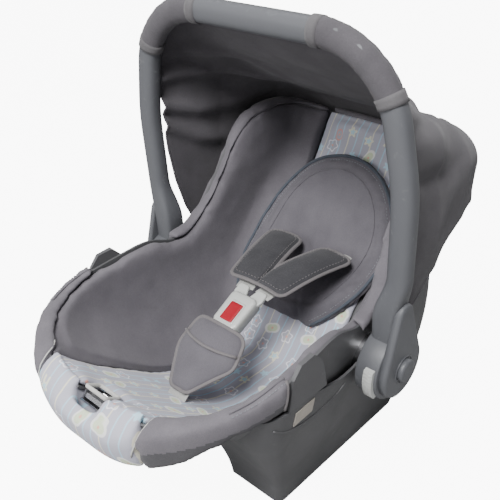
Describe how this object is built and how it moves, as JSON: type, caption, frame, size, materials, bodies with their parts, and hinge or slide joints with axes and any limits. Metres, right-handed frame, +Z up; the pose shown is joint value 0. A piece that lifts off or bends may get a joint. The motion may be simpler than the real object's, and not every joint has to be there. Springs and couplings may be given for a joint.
{
  "type": "infant car seat",
  "caption": "Rear-facing infant carrier seat with padded bucket, harness, swinging carry handle and fabric hood on a flat-bottomed base.",
  "frame": {"origin": "bottom centre of the whole carrier's box, on the floor", "axes": "+Z up, +Y to the head end, +X to the right-hand side seen from the foot end"},
  "size_m": [0.438, 0.5992, 0.5997],
  "materials": {
    "shell_plastic": "fine moulded texture, satin mid-grey polypropylene",
    "handle_plastic": "satin moulded plastic, slightly blue grey",
    "light_plastic": "satin pale grey acetal",
    "red_plastic": "semi-gloss red",
    "steel": "zinc plated",
    "cover_fabric": "brushed knit, mid grey, foam backed",
    "printed_fabric": null,
    "insert_fabric": "soft brushed knit, quilted, blue-grey piping",
    "pad_fabric": "dark grey spacer mesh with a warm grey binding",
    "hood_fabric": "thin woven polyester, mid grey",
    "webbing": "pale grey polyester webbing",
    "label": "blank paper label"
  },
  "bodies": {
    "shell": {"seat_shell": "shell_plastic", "base_right": "shell_plastic", "base_left": "shell_plastic", "belt_guide_right": "shell_plastic", "belt_guide_left": "shell_plastic", "seat_panel": "printed_fabric", "foot_roll": "printed_fabric", "head_roll": "cover_fabric", "lining_right": "cover_fabric", "lining_left": "cover_fabric", "bolster_right": "cover_fabric", "bolster_left": "cover_fabric", "wing_right": "cover_fabric", "wing_left": "cover_fabric", "newborn_insert": "insert_fabric", "crotch_strap": "webbing", "crotch_pad": "cover_fabric", "buckle_body": "light_plastic", "buckle_spring": "steel", "splitter_plate": "steel", "adjuster_strap": "webbing", "adjuster_frame": "steel", "adjuster_pin": "steel", "canopy_hood": "hood_fabric", "shell_screws": "steel", "blank_label": "label", "shoulder_strap_right": "webbing", "shoulder_pad_right": "pad_fabric", "tongue_right": "light_plastic", "pivot_bolt_right": "steel", "toothed_anchor_right": "steel", "shoulder_strap_left": "webbing", "shoulder_pad_left": "pad_fabric", "tongue_left": "light_plastic", "pivot_bolt_left": "steel", "toothed_anchor_left": "steel"},
    "handle": {"handle": "handle_plastic", "hub_cover_right": "handle_plastic", "pivot_cap_right": "handle_plastic", "button_spring_right": "steel", "canopy_sleeve_right": "hood_fabric", "hub_cover_left": "handle_plastic", "pivot_cap_left": "handle_plastic", "button_spring_left": "steel", "canopy_sleeve_left": "hood_fabric"},
    "button_right": {"release_button_right": "light_plastic", "lock_yoke_right": "steel"},
    "button_left": {"release_button_left": "light_plastic", "lock_yoke_left": "steel"},
    "red_button": {"buckle_button": "red_plastic"},
    "lever": {"adjuster_lever": "steel"}
  },
  "joints": [
    {"name": "handle_swing", "type": "hinge", "parent": "shell", "child": "handle", "pos_m": [0, 0.0195, 0.205], "axis": [1, 0, 0], "range_deg": [-115, 0], "deforming": ["canopy_hood"]},
    {"name": "buckle_press", "type": "slide", "parent": "shell", "child": "red_button", "axis": [0, 0.4695, -0.8829], "range_m": [0, 0.004], "stiffness_N_per_m": 900, "deforming": ["buckle_spring"]},
    {"name": "adjuster_press", "type": "hinge", "parent": "shell", "child": "lever", "pos_m": [0, -0.26443, 0.21576], "axis": [1, 0, 0], "range_deg": [-12, 0], "stiffness_Nm_per_rad": 0.08},
    {"name": "release_right", "type": "slide", "parent": "handle", "child": "button_right", "axis": [0, 0.9854, 0.1702], "range_m": [0, 0.005], "stiffness_N_per_m": 900, "deforming": ["button_spring_right"]},
    {"name": "release_left", "type": "slide", "parent": "handle", "child": "button_left", "axis": [0, 0.9854, 0.1702], "range_m": [0, 0.005], "stiffness_N_per_m": 900, "deforming": ["button_spring_left"]}
  ]
}
